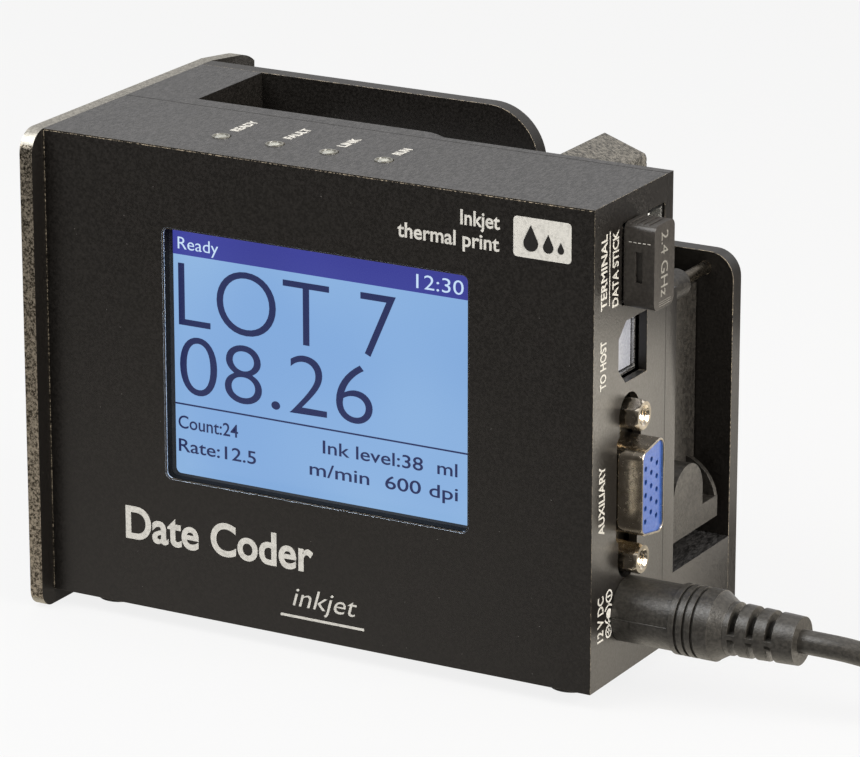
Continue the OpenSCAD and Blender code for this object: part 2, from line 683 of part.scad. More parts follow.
module adapter_relief() color([0.08, 0.08, 0.08]) place()
    translate(tail_end) rotate([0, 90, 0]) cylinder(r1 = 2.6, r2 = 4, h = adapter_x - tail_end[0]);

module adapter_body() color([0.09, 0.09, 0.09]) place()
    translate([adapter_x, tail_end[1] - adapter[1] / 2, -stand_h])
        linear_extrude(adapter[2]) round_rect([adapter[0], adapter[1]], 4);

module adapter_blades() color([0.80, 0.78, 0.70]) place()
    for (s = [-1, 1])
        translate([adapter_x + adapter[0] / 2, tail_end[1] + s * blade_pitch / 2, adapter[2] - stand_h])
            difference() {
                translate([-blade[0] / 2, -blade[1] / 2, 0]) cube(blade);
                translate([0, 5, blade[2] - 3.5]) rotate([90, 0, 0]) cylinder(r = 1.6, h = 10);
            }

front_cover();
chassis();
rear_plate();
wear_plate();
feet();
cover_screws();
wear_plate_screws();
rear_plate_screws();
lcd_frame();
lcd_gasket();
lcd_panel();
lcd_flex();
main_pcb();
pcb_standoffs();
pcb_screws();
led_sensor();
led_alarm();
led_link();
led_print();
coin_cell();
cell_holder();
photocell();
usb_a_shell();
usb_a_tongues();
usb_b_shell();
usb_b_core();
dsub_shell();
dsub_insert();
dsub_jackscrews();
dsub_housing();
dc_jack();
contact_block();
contact_pins();
contact_flex();
cross_pin();
retainer_lever();
lever_spring();
cartridge_body();
cartridge_lid();
cartridge_grip();
nozzle_plate();
cartridge_contacts();
receiver_body();
receiver_plug();
dc_plug();
dc_barrel();
plug_relief();
power_cord();
cord_coil();
coil_tie();
cord_tail();
adapter_relief();
adapter_body();
adapter_blades();
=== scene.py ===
"""Looks of a compact inkjet date coder: finishes, edges, screen, markings and the power lead."""
import json

from math import cos, pi, radians, sin

import bmesh
import bpy
from mathutils import Matrix, Vector

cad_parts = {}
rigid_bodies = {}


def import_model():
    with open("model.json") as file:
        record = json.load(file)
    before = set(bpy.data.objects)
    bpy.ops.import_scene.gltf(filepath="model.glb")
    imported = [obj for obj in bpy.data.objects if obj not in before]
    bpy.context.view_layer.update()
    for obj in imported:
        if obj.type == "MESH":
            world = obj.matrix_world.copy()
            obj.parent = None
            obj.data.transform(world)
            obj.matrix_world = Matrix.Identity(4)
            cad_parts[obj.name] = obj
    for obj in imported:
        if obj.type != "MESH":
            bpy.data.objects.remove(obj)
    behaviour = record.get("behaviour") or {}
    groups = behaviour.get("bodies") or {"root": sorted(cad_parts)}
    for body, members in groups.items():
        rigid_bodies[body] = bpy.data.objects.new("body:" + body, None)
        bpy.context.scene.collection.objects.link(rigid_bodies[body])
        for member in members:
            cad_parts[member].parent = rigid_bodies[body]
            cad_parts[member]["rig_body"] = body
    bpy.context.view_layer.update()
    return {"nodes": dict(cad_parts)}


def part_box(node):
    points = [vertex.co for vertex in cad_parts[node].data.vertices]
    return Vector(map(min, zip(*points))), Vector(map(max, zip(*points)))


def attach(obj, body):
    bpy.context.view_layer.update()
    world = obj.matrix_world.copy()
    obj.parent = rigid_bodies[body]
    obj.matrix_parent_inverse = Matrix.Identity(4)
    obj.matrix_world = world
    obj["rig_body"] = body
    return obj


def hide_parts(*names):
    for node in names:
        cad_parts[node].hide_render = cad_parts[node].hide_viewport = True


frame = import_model()

MM = 0.001
X, Y, Z = Vector((1, 0, 0)), Vector((0, 1, 0)), Vector((0, 0, 1))
case_low, case_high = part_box("front_cover")
case_w, cover_d, case_h = (case_high - case_low) / MM
floor_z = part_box("feet")[0].z


def at(x, y, z):
    """A point in the case frame (millimetres from the case's lower front left corner), in row metres."""
    return case_low + Vector((x, y, z)) * MM


def middle(node):
    low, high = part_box(node)
    return (low + high) / 2


# ---------------------------------------------------------------- camera

VIEW_AZIMUTH = radians(29.3)
VIEW_ELEVATION = radians(17.6)
VIEW_DISTANCE = 0.851
VIEW_LENS = 210.0
VIEW_CENTRE = at(52.8, 14, 41.5)
VIEW_OFFSET = (12.8 * MM, 1.2 * MM)


def make_camera():
    back = Vector((
        sin(VIEW_AZIMUTH) * cos(VIEW_ELEVATION),
        -cos(VIEW_AZIMUTH) * cos(VIEW_ELEVATION),
        sin(VIEW_ELEVATION),
    ))
    right = Vector((cos(VIEW_AZIMUTH), sin(VIEW_AZIMUTH), 0))
    up = back.cross(right)
    data = bpy.data.cameras.new("camera")
    data.lens = VIEW_LENS
    data.sensor_width = 36.0
    data.clip_start, data.clip_end = 0.05, 20.0
    camera = bpy.data.objects.new("camera", data)
    place = VIEW_CENTRE + right * VIEW_OFFSET[0] + up * VIEW_OFFSET[1] + back * VIEW_DISTANCE
    turn = Matrix((right, up, back)).transposed().to_4x4()
    camera.matrix_world = Matrix.Translation(place) @ turn
    bpy.context.scene.collection.objects.link(camera)
    bpy.context.scene.camera = camera


make_camera()

# ---------------------------------------------------------------- materials


class Finish:
    """A procedural material: one Principled shader, fed by noise in object space."""

    def __init__(self, name, colour, rough, metal=0.0, specular=0.5):
        self.made = bpy.data.materials.new(name)
        self.made.use_nodes = True
        self.nodes = self.made.node_tree.nodes
        self.links = self.made.node_tree.links
        self.shader = self.nodes["Principled BSDF"]
        self.set("Base Color", (*colour, 1.0))
        self.set("Roughness", rough)
        self.set("Metallic", metal)
        self.set("Specular IOR Level", specular)
        self.place = self.nodes.new("ShaderNodeTexCoord").outputs["Object"]

    def set(self, socket, value):
        self.shader.inputs[socket].default_value = value
        return self

    def add(self, kind, **values):
        node = self.nodes.new(kind)
        for name, value in values.items():
            setattr(node, name, value)
        return node

    def noise(self, size, detail=3.0, stretch=(1, 1, 1), roughness=0.6):
        """Noise whose spots are about size millimetres across."""
        mapping = self.add("ShaderNodeMapping")
        mapping.inputs["Scale"].default_value = stretch
        self.links.new(self.place, mapping.inputs["Vector"])
        noise = self.add("ShaderNodeTexNoise")
        noise.inputs["Scale"].default_value = 1 / (size * MM)
        noise.inputs["Detail"].default_value = detail
        noise.inputs["Roughness"].default_value = roughness
        self.links.new(mapping.outputs["Vector"], noise.inputs["Vector"])
        return noise.outputs["Fac"]

    def flecks(self, size, share):
        """Small round specks that cover about the given share of the surface."""
        cells = self.add("ShaderNodeTexVoronoi")
        cells.inputs["Scale"].default_value = 1 / (size * MM)
        self.links.new(self.place, cells.inputs["Vector"])
        return self.span(cells.outputs["Distance"], share, share * 0.6)

    def span(self, fac, low, high, to_low=0.0, to_high=1.0):
        ramp = self.add("ShaderNodeMapRange")
        ramp.interpolation_type = "SMOOTHSTEP"
        for name, value in zip(
            ("From Min", "From Max", "To Min", "To Max"), (low, high, to_low, to_high)
        ):
            ramp.inputs[name].default_value = value
        self.links.new(fac, ramp.inputs["Value"])
        return ramp.outputs["Result"]

    def blend_colour(self, fac, dark, light, socket="Base Color"):
        mix = self.add("ShaderNodeMix", data_type="RGBA")
        self.links.new(fac, mix.inputs[0])
        for entry, colour in ((6, dark), (7, light)):
            if isinstance(colour, tuple):
                mix.inputs[entry].default_value = (*colour, 1.0)
            else:
                self.links.new(colour, mix.inputs[entry])
        if socket:
            self.links.new(mix.outputs[2], self.shader.inputs[socket])
        return mix.outputs[2]

    def vary_rough(self, fac, low, high):
        self.links.new(self.span(fac, 0.3, 0.7, low, high), self.shader.inputs["Roughness"])
        return self

    def bump(self, fac, height, strength=1.0):
        """Relief of the given height in millimetres."""
        bump = self.add("ShaderNodeBump")
        bump.inputs["Strength"].default_value = strength
        bump.inputs["Distance"].default_value = height * MM
        self.links.new(fac, bump.inputs["Height"])
        before = self.shader.inputs["Normal"]
        if before.is_linked:
            self.links.new(before.links[0].from_socket, bump.inputs["Normal"])
        self.links.new(bump.outputs["Normal"], before)
        return self


GRAIN, RELIEF_GRAIN, CLOUD = 0.5, 0.6, 22.0
CLOUD_SHARE = 0.12
SPECK_PITCH, SPECK_SHARE, SPECK_COLOUR = 3.1, 0.030, (0.13, 0.12, 0.11)
ROW_CONTRAST = 0.10


def coated_metal(name, dark, light, rough, stretch=(1, 1, 1), relief=0.02):
    """Black anodised sheet: an even grain with sparse dust specks."""
    f = Finish(name, dark, rough[0], specular=0.7)
    grain = f.noise(GRAIN, detail=3.0, stretch=stretch, roughness=0.7)
    cloud = f.noise(CLOUD, detail=3.0)
    body = f.blend_colour(f.span(grain, 0.36, 0.66), dark, light, socket=None)
    worn = f.blend_colour(f.span(cloud, 0.35, 0.7, 0.0, CLOUD_SHARE), body, light, socket=None)
    f.blend_colour(f.flecks(SPECK_PITCH, SPECK_SHARE), worn, SPECK_COLOUR)
    f.vary_rough(grain, *rough)
    f.bump(f.noise(RELIEF_GRAIN, detail=3.0, stretch=stretch, roughness=0.8), relief)
    return f.made


def bare_edge(name, dark, light, rough, size, share=0.5, metal=1.0):
    """Cut aluminium: mottled in spots of the given size, bright over about the given share."""
    f = Finish(name, dark, rough[0], metal=metal)
    blotch = f.noise(size, detail=5.0, roughness=0.75)
    marks = f.noise(size * 0.5, detail=2.0)
    cut = 0.7 - 0.4 * share
    f.blend_colour(f.span(blotch, cut - 0.1, cut + 0.1), dark, light)
    f.vary_rough(blotch, *rough)
    f.bump(marks, 0.02, 0.6)
    return f.made


def plain_metal(name, dark, light, rough, grain=0.4):
    """Bare or plated metal with faint cloudy marks."""
    f = Finish(name, dark, rough[0], metal=1.0)
    marks = f.noise(grain, detail=4.0)
    f.blend_colour(f.span(f.noise(2.5, detail=4.0), 0.35, 0.65), dark, light)
    f.vary_rough(marks, *rough)
    f.bump(marks, 0.004, 0.4)
    return f.made


def moulded(name, dark, light, rough, grain=0.25, relief=0.02, specular=0.5):
    """Moulded plastic or rubber with a fine spark-eroded texture."""
    f = Finish(name, dark, rough[0], specular=specular)
    fine = f.noise(grain, detail=2.0)
    f.blend_colour(f.span(f.noise(1.8 * grain, detail=4.0), 0.32, 0.68), dark, light)
    f.vary_rough(f.noise(1.5 * grain, detail=3.0), *rough)
    f.bump(fine, relief, 0.8)
    return f.made


def glowing(name, low, high, line=0.26):
    """A lit screen: colour that drifts over the panel, under a faint grid of rows."""
    f = Finish(name, (0.01, 0.015, 0.03), 0.25, specular=0.4)
    drift = f.span(f.noise(40.0, detail=1.0), 0.3, 0.7)
    colour = f.blend_colour(drift, low, high, socket=None)
    rows = f.add("ShaderNodeTexWave", bands_direction="Z")
    rows.inputs["Scale"].default_value = pi / (line * MM) / 10
    rows.inputs["Distortion"].default_value = 0.0
    f.links.new(f.place, rows.inputs["Vector"])
    shaded = f.span(rows.outputs["Fac"], 0.0, 1.0, 0.0, ROW_CONTRAST)
    dim = tuple(0.86 * c for c in low)
    f.blend_colour(shaded, colour, dim, socket="Emission Color")
    f.set("Emission Strength", 1.0)
    f.vary_rough(f.noise(8.0), 0.22, 0.30)
    f.bump(f.noise(0.5), 0.002, 0.3)
    return f.made


def ink(name, colour, rough=0.5):
    """Printed ink: even colour with slightly thin patches."""
    f = Finish(name, colour, rough)
    thin = tuple(0.82 * c for c in colour)
    f.blend_colour(f.span(f.noise(0.6, detail=4.0), 0.35, 0.55), thin, colour)
    f.vary_rough(f.noise(0.4), rough - 0.06, rough + 0.06)
    f.bump(f.noise(0.3), 0.004, 0.4)
    return f.made


CASE = coated_metal("case_black", (0.0046, 0.0038, 0.0031), (0.0108, 0.0090, 0.0074), (0.30, 0.42))
# Lighter black for the case's upward faces: painted sheen of the light the top reflects, over the same
# grain and specks.
CASE_TOP_SHEEN = coated_metal(
    "case_black_top_sheen", (0.002, 0.002, 0.002), (0.056, 0.054, 0.054), (0.30, 0.42), (1.5, 0.42, 1), 0.06
)
# Darker, duller black for the walls of the screen's opening: painted shade in the recess.
MATT_SHADE = moulded("case_matt_shade", (0.003, 0.003, 0.003), (0.006, 0.006, 0.006), (0.7, 0.85), 0.4, 0.02, 0.15)
WORN = bare_edge(
    "case_worn_edge", (0.012, 0.010, 0.008), (0.30, 0.25, 0.18), (0.30, 0.50), 0.7, 0.5, 0.0
)
SILVER = bare_edge("plate_cut_edge", (0.30, 0.285, 0.25), (0.46, 0.44, 0.39), (0.35, 0.55), 0.5)
SCUFFED = bare_edge(
    "plate_front_edge", (0.07, 0.060, 0.045), (0.66, 0.59, 0.48), (0.30, 0.50), 0.45, 0.5
)
# Bright beige for the cover's top and left front edges: worn coating and painted edge highlight.
RUBBED_AND_HIGHLIGHT = bare_edge(
    "case_rubbed_edge_highlight", (0.01, 0.008, 0.006), (0.46, 0.38, 0.27), (0.4, 0.6), 0.5, 0.42, 0.0
)
STEEL = plain_metal("steel_bright", (0.45, 0.45, 0.44), (0.68, 0.67, 0.65), (0.22, 0.40))
DARK_STEEL = plain_metal("steel_black", (0.03, 0.03, 0.03), (0.07, 0.07, 0.07), (0.30, 0.45))
NICKEL = plain_metal("nickel", (0.70, 0.62, 0.50), (0.88, 0.80, 0.68), (0.16, 0.28), 0.8)
BRASS = plain_metal("brass", (0.45, 0.32, 0.12), (0.78, 0.60, 0.28), (0.20, 0.38))
RUBBER = moulded("rubber", (0.010, 0.010, 0.010), (0.020, 0.020, 0.019), (0.65, 0.85), 0.5, 0.03)
PLASTIC = moulded("plastic_black", (0.011, 0.010, 0.0095), (0.022, 0.020, 0.019), (0.34, 0.46))
HOUSING = moulded(
    "plastic_housing", (0.030, 0.0265, 0.0235), (0.048, 0.043, 0.038), (0.28, 0.36), 0.3, 0.02, 0.4
)
LEATHERY = moulded(
    "plastic_textured", (0.022, 0.020, 0.016), (0.15, 0.138, 0.116), (0.42, 0.62), 0.36, 0.12, 0.8
)
LEVER = moulded(
    "plastic_lever", (0.006, 0.005, 0.004), (0.026, 0.023, 0.019), (0.38, 0.54), 0.4, 0.05, 0.55
)
BRONZED = plain_metal("pin_bronzed", (0.10, 0.085, 0.065), (0.19, 0.165, 0.13), (0.22, 0.36))
# Darker copy of the nickel for faces turned to +X: painted shade.
NICKEL_SHADED = plain_metal("nickel_face_shaded", (0.13, 0.115, 0.09), (0.24, 0.215, 0.175), (0.3, 0.42))
CABLE = moulded(
    "cable_black", (0.022, 0.020, 0.017), (0.046, 0.042, 0.036), (0.32, 0.44), 0.35, 0.06
)
WHITE = moulded("plastic_white", (0.62, 0.62, 0.60), (0.75, 0.75, 0.73), (0.35, 0.5))
BLUE = moulded("plastic_blue", (0.016, 0.062, 0.26), (0.026, 0.082, 0.31), (0.35, 0.5))
BOARD = moulded("board_green", (0.008, 0.07, 0.03), (0.015, 0.11, 0.05), (0.3, 0.45))
AMBER = moulded("polyimide", (0.30, 0.15, 0.03), (0.45, 0.25, 0.06), (0.25, 0.4))
FOAM = moulded("gasket_foam", (0.006, 0.006, 0.006), (0.012, 0.012, 0.012), (0.8, 0.95), 0.4, 0.05)
LAMP = moulded("lamp_clear", (0.11, 0.107, 0.09), (0.17, 0.165, 0.14), (0.12, 0.22), 0.6, 0.01, 0.8)
# Lighter grey for the lens domes: painted highlight.
LAMP_CENTRE_HIGHLIGHT = moulded("lamp_centre_highlight", (0.26, 0.26, 0.225), (0.40, 0.40, 0.35), (0.08, 0.14), 0.6, 0.01, 0.8)
SCREEN = glowing("screen_blue", (0.215, 0.39, 0.69), (0.30, 0.49, 0.75))
SCREEN_BAR = glowing("screen_bar", (0.036, 0.040, 0.26), (0.052, 0.058, 0.34))
SCREEN_NAVY = glowing("screen_navy", (0.012, 0.016, 0.075), (0.015, 0.020, 0.09))
SCREEN_LIGHT = glowing("screen_light", (0.55, 0.72, 0.92), (0.62, 0.78, 0.95))
PAINT = ink("print_grey", (0.60, 0.58, 0.53))
SIDE_INK = ink("print_side", (0.50, 0.48, 0.43))
FAINT_INK = ink("print_faint", (0.20, 0.19, 0.165))
# Dark print, also used for the cover seam strips, which are painted shadow.
DARK_INK_AND_SHADE = ink("print_dark_and_shade", (0.012, 0.011, 0.010))
LILAC = moulded("plastic_lilac", (0.24, 0.25, 0.285), (0.33, 0.34, 0.38), (0.3, 0.45))
LENS_DARK = moulded("sensor_lens", (0.02, 0.006, 0.006), (0.04, 0.010, 0.010), (0.08, 0.15))
GLASS_EDGE = moulded("screen_edge", (0.006, 0.007, 0.010), (0.012, 0.014, 0.020), (0.1, 0.2))
# Bright bluish colour for the lip round the screen opening.
EDGE_BRIGHT = bare_edge(
    "edge_bright", (0.34, 0.44, 0.58), (0.62, 0.74, 0.90), (0.25, 0.4), 0.6, 0.7, 0.3
)

# ---------------------------------------------------------------- shapes


def keep(obj, body="root"):
    if obj.name not in bpy.context.scene.collection.objects:
        bpy.context.scene.collection.objects.link(obj)
    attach(obj, body)
    return obj


def from_bmesh(name, bm, materials, smooth=35):
    mesh = bpy.data.meshes.new(name)
    bm.to_mesh(mesh)
    bm.free()
    for m in materials:
        mesh.materials.append(m)
    mesh.shade_smooth()
    mesh.set_sharp_from_angle(angle=radians(smooth))
    return bpy.data.objects.new(name, mesh)


def soften(obj, width, segments=2, edge=0, angle=40):
    """Rounds the sharp edges of a piece, with its own material on them if edge names one."""
    bevel = obj.modifiers.new("edges", "BEVEL")
    bevel.width = width * MM
    bevel.segments = segments
    bevel.limit_method = "ANGLE"
    bevel.angle_limit = radians(angle)
    bevel.use_clamp_overlap = True
    bevel.harden_normals = True
    if edge:
        bevel.material = edge
    return obj


def dress(node, *materials, round_mm=0.2, segments=2, edge=0, pick=None, suffix="_skin"):
    """Stands for a CAD node: its own shape with merged faces, rounded edges and a finish.
    pick(face normal, face centre in case millimetres) gives the index of a face's material."""
    source = frame["nodes"][node]
    bm = bmesh.new()
    bm.from_mesh(source.data)
    bmesh.ops.remove_doubles(bm, verts=bm.verts, dist=0.002 * MM)
    bmesh.ops.dissolve_limit(bm, angle_limit=radians(0.4), verts=bm.verts, edges=bm.edges)
    for face in bm.faces:
        centre = (face.calc_center_median() - case_low) / MM
        face.material_index = pick(face.normal, centre) if pick else 0
    piece = from_bmesh(node + suffix, bm, materials)
    if round_mm:
        soften(piece, round_mm, segments, edge)
    body = source["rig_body"]
    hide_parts(node)
    return keep(piece, body)


def paint(node, material):
    """Gives a CAD node that keeps its own shape a finish."""
    mesh = frame["nodes"][node].data
    if mesh.materials:
        for k in range(len(mesh.materials)):
            mesh.materials[k] = material
    else:
        mesh.materials.append(material)


def across(axis):
    """Two directions square to an axis; the first points up unless the axis does."""
    side = Z if abs(axis.z) < 0.9 else X
    return side, axis.cross(side)


def lathe(bm, profile, origin, axis, steps=48):
    """Adds a turned shape. A profile point is (radius, distance along the axis) in millimetres,
    with a third value where the turned surface is cut to a hexagon of that half width."""
    side, other = across(axis)
    rings = []
    for radius, along, *flat in profile:
        centre = origin + axis * along * MM
        if radius == 0:
            rings.append([bm.verts.new(centre)])
            continue
        ring = []
        for k in range(steps):
            a = 2 * pi * k / steps
            r = min(radius, flat[0] / cos(a % (pi / 3) - pi / 6)) if flat else radius
            ring.append(bm.verts.new(centre + (side * cos(a) + other * sin(a)) * r * MM))
        rings.append(ring)
    for low, high in zip(rings, rings[1:]):
        for k in range(steps):
            quad = [low[k % len(low)], low[(k + 1) % len(low)],
                    high[(k + 1) % len(high)], high[k % len(high)]]
            bm.faces.new(list(dict.fromkeys(quad)))


def turned(name, material, jobs, steps=48):
    """One piece made of turned shapes, each given as (profile, origin, axis)."""
    bm = bmesh.new()
    for profile, origin, axis in jobs:
        lathe(bm, profile, origin, axis, steps)
    bmesh.ops.recalc_face_normals(bm, faces=bm.faces)
    return from_bmesh(name, bm, [material], smooth=28)


def islands(node):
    """The box round each separate solid of a CAD node."""
    bm = bmesh.new()
    bm.from_mesh(frame["nodes"][node].data)
    bmesh.ops.remove_doubles(bm, verts=bm.verts, dist=0.002 * MM)
    left, boxes = set(bm.verts), []
    while left:
        queue, found = [left.pop()], []
        while queue:
            vert = queue.pop()
            found.append(vert.co.copy())
            near = {e.other_vert(vert) for e in vert.link_edges} & left
            left -= near
            queue.extend(near)
        low = Vector([min(c[k] for c in found) for k in range(3)])
        high = Vector([max(c[k] for c in found) for k in range(3)])
        boxes.append((low, high))
    bm.free()
    return sorted(boxes, key=lambda box: tuple(round(c, 5) for c in box[0]))


def stand_in(piece, node):
    """Lets a new piece take the place of a CAD node."""
    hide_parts(node)
    return keep(piece, frame["nodes"][node]["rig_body"])


def lettering(name, words, start, cap, right, up, material, width=None, bold=0.0, slant=0.0,
              thick=0.06, body="root"):
    """Printed words: baseline start, capital height and, if given, width, in millimetres."""
    curve = bpy.data.curves.new(name, "FONT")
    curve.body = words
    curve.offset = bold
    curve.shear = slant
    curve.resolution_u = 8 if cap > 5 else 4
    curve.extrude = 0.5
    holder = bpy.data.objects.new(name + "_curve", curve)
    bpy.context.scene.collection.objects.link(holder)
    shape = holder.evaluated_get(bpy.context.evaluated_depsgraph_get())
    mesh = bpy.data.meshes.new_from_object(shape)
    bpy.data.objects.remove(holder)
    first = min(v.co.x for v in mesh.vertices)
    last = max(v.co.x for v in mesh.vertices)
    tall = cap / FONT_CAP
    wide = width / (last - first) if width else tall
    out = right.cross(up)
    for v in mesh.vertices:
        along, rise, lift = (v.co.x - first) * wide, v.co.y * tall, v.co.z * thick
        v.co = start + (right * along + up * rise + out * lift) * MM
    mesh.materials.clear()
    mesh.materials.append(material)
    mesh.name = name
    return keep(bpy.data.objects.new(name, mesh), body)


def mark(name, outline, start, right, up, material, thick=0.06, body="root"):
    """A printed patch with the given outline, in millimetres from start."""
    out = right.cross(up)
    bm = bmesh.new()
    rows = [
        [bm.verts.new(start + (right * u + up * v + out * level) * MM) for u, v in outline]
        for level in (-thick / 2, thick / 2)
    ]
    bm.faces.new(rows[1])
    bm.faces.new(rows[0][::-1])
    count = len(outline)
    for k in range(count):
        bm.faces.new([rows[0][k], rows[0][(k + 1) % count], rows[1][(k + 1) % count], rows[1][k]])
    bmesh.ops.recalc_face_normals(bm, faces=bm.faces)
    bmesh.ops.triangulate(bm, faces=bm.faces)
    return keep(from_bmesh(name, bm, [material]), body)


def rule(name, start, length, height, right, up, material, thick=0.06, body="root"):
    outline = [(0, 0), (length, 0), (length, height), (0, height)]
    return mark(name, outline, start, right, up, material, thick, body)


def stroke(points, width):
    """The outline of a line of even width drawn through the points."""
    p = [Vector(q) for q in points]
    one, other = [], []
    for k, here in enumerate(p):
        way = (p[min(k + 1, len(p) - 1)] - p[max(k - 1, 0)]).normalized()
        off = Vector((-way.y, way.x)) * width / 2
        one.append(tuple(here + off))
        other.append(tuple(here - off))
    return other + one[::-1]


def arc(centre, radius, start, end, steps=24):
    angles = [radians(start + (end - start) * k / steps) for k in range(steps + 1)]
    return [(centre[0] + radius * cos(a), centre[1] + radius * sin(a)) for a in angles]


def round_box(width, height, radius):
    return (arc((width - radius, radius), radius, -90, 0, 6)
            + arc((width - radius, height - radius), radius, 0, 90, 6)
            + arc((radius, height - radius), radius, 90, 180, 6)
            + arc((radius, radius), radius, 180, 270, 6))


# ---------------------------------------------------------------- power lead

CORD_D = 4.1
LEAD_ROUTE = [
    (138, 12.5, 11.4), (142, 12.7, 11.3), (146, 13.4, 10.9), (150, 14.7, 9.9),
    (154, 16.6, 8.2), (158, 18.8, 6), (162, 21, 3.7), (166, 22.9, 1.7),
    (170, 24.2, 0.3), (173, 24.8, -0.4), (176, 25, -0.65)]
TAIL_ROUTE = [
    (176, 25, 3.45), (180, 25.1, 3.45), (184, 25.2, 3.6), (188, 25.3, 4),
    (192, 25.4, 4.4), (196, 25.5, 4.5)]
TURNS_ACROSS, LAYERS = 4, 2
POINTS_PER_TURN = 36
CROSSING = 0.2
HIDDEN_START, HIDDEN_END = (130, 133, 136), (199, 202)
SEAM_LENGTH, SEAM_START, SEAM_SUNK = 10.0, 0.4, 0.35
SEAM_RIDGE = [(0.0, -0.09), (0.10, 0.0), (0.0, 0.09)]
PARTING_PROUD, PARTING_HEIGHT = 0.03, 0.3
ADAPTER_CORNER, ADAPTER_ROUND = 4.0, 2.0


def smoothly(u):
    u = min(max(u, 0.0), 1.0)
    return u * u * (3 - 2 * u)


def coil_turns():
    """Turns from the outside in along the floor, then back out on top of them."""
    first, last = Vector(LEAD_ROUTE[-1]), Vector(TAIL_ROUTE[0])
    low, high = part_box("cord_coil")
    outer = (high.x - low.x) / 2 / MM - CORD_D / 2
    centre = first + Vector((0, outer, 0))
    rings = [outer - CORD_D * k for k in range(TURNS_ACROSS)]
    stops = [(r, first.z) for r in rings] + [(r, last.z) for r in reversed(rings)]
    stops.append(stops[-1])
    points = []
    for k in range(1, TURNS_ACROSS * LAYERS * POINTS_PER_TURN):
        turn, part = divmod(k / POINTS_PER_TURN, 1.0)
        (r0, z0), (r1, z1) = stops[int(turn)], stops[int(turn) + 1]
        shift = smoothly((part - 1 + CROSSING) / CROSSING)
        radius, height = r0 + (r1 - r0) * shift, z0 + (z1 - z0) * shift
        angle = 2 * pi * part - pi / 2
        points.append(Vector((centre.x + radius * cos(angle), centre.y + radius * sin(angle), height)))
    return points


def eased(route, steps=4):
    """A smooth way through the points of a route."""
    p = [Vector(q) for q in route]
    ends = [2 * p[0] - p[1]] + p + [2 * p[-1] - p[-2]]
    way = []
    for a, b, c, d in zip(ends, ends[1:], ends[2:], ends[3:]):
        for k in range(steps):
            t = k / steps
            way.append(0.5 * (2 * b + (c - a) * t + (2 * a - 5 * b + 4 * c - d) * t * t
                              + (3 * b - a - 3 * c + d) * t ** 3))
    return way + [p[-1]]


def plug_seam():
    """The mould's parting line along the plug's side."""
    low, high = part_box("dc_plug")
    centre = middle("dc_plug")
    radius = (high.z - low.z) / 2 - SEAM_SUNK * MM
    start = Vector((low.x + SEAM_START * MM, centre.y - radius, centre.z))
    bm = bmesh.new()
    rings = [
        [bm.verts.new(start + (X * along - Y * out + Z * rise) * MM) for out, rise in SEAM_RIDGE]
        for along in (0.0, SEAM_LENGTH)
    ]
    for k in range(3):
        bm.faces.new([rings[0][k], rings[0][(k + 1) % 3], rings[1][(k + 1) % 3], rings[1][k]])
    bm.faces.new(rings[0])
    bm.faces.new(rings[1][::-1])
    bmesh.ops.recalc_face_normals(bm, faces=bm.faces)
    return keep(from_bmesh("plug_seam", bm, [CABLE]))


def adapter_seam():
    """The dark parting line where the two halves of the adapter's case meet."""
    low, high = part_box("adapter_body")
    size = (high - low) / MM
    proud = PARTING_PROUD
    outline = round_box(size.x + 2 * proud, size.y + 2 * proud, ADAPTER_CORNER)
    start = Vector((low.x - proud * MM, low.y - proud * MM, middle("adapter_body").z))
    seam = mark("adapter_seam", outline, start, X, Y, DARK_INK_AND_SHADE, PARTING_HEIGHT)
    return seam


def make_lead():
    inside = [Vector((x, LEAD_ROUTE[0][1], LEAD_ROUTE[0][2])) for x in HIDDEN_START]
    way = inside + eased(LEAD_ROUTE) + coil_turns() + eased(TAIL_ROUTE)
    way += [Vector((x, TAIL_ROUTE[-1][1], TAIL_ROUTE[-1][2])) for x in HIDDEN_END]
    curve = bpy.data.curves.new("power_lead", "CURVE")
    curve.dimensions = "3D"
    curve.bevel_depth = CORD_D / 2 * MM
    curve.bevel_resolution = 5
    curve.use_fill_caps = True
    spline = curve.splines.new("POLY")
    spline.points.add(len(way) - 1)
    for point, place in zip(spline.points, way):
        point.co = (*at(*place), 1.0)
    curve.materials.append(CABLE)
    lead = keep(bpy.data.objects.new("power_lead", curve))
    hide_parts("power_cord", "cord_coil", "cord_tail")
    ends = [
        dress("dc_plug", CABLE, round_mm=0.22, segments=3),
        plug_seam(),
        dress("dc_barrel", NICKEL, round_mm=0.1),
        dress("plug_relief", CABLE, round_mm=0.25, segments=3),
        dress("coil_tie", RUBBER, round_mm=0.3),
        dress("adapter_relief", CABLE, round_mm=0.4, segments=3),
        dress("adapter_body", PLASTIC, round_mm=ADAPTER_ROUND, segments=6),
        adapter_seam(),
        dress("adapter_blades", NICKEL, round_mm=0.3),
    ]


make_lead()

# ---------------------------------------------------------------- case

SEAM, SEAM_THICK = 0.22, 0.03
RUB_MARGIN, RUB_TOP, RUB_LEFT, RUB_THICK = 0.2, (0.30, 0.11), (0.22, 0.16), 0.03
SQUARE_ON = 0.9
WINDOW_X, WINDOW_Z, WINDOW_DEEP = (20, 90), (20, 78), 4


def faces_up(normal, centre):
    return 1 if normal.z > SQUARE_ON else 0


def faces_right(normal, centre):
    return 1 if normal.x > SQUARE_ON else 0


def cover_face(normal, centre):
    """The top faces get a lighter copy of the case black, painted sheen; the walls of the screen's
    opening get a darker, duller black, painted shade.
    """
    in_window = (WINDOW_X[0] < centre.x < WINDOW_X[1] and WINDOW_Z[0] < centre.z < WINDOW_Z[1]
                 and centre.y < WINDOW_DEEP)
    if in_window and abs(normal.y) < 1 - SQUARE_ON:
        return 3
    return 2 if normal.z > SQUARE_ON else 0


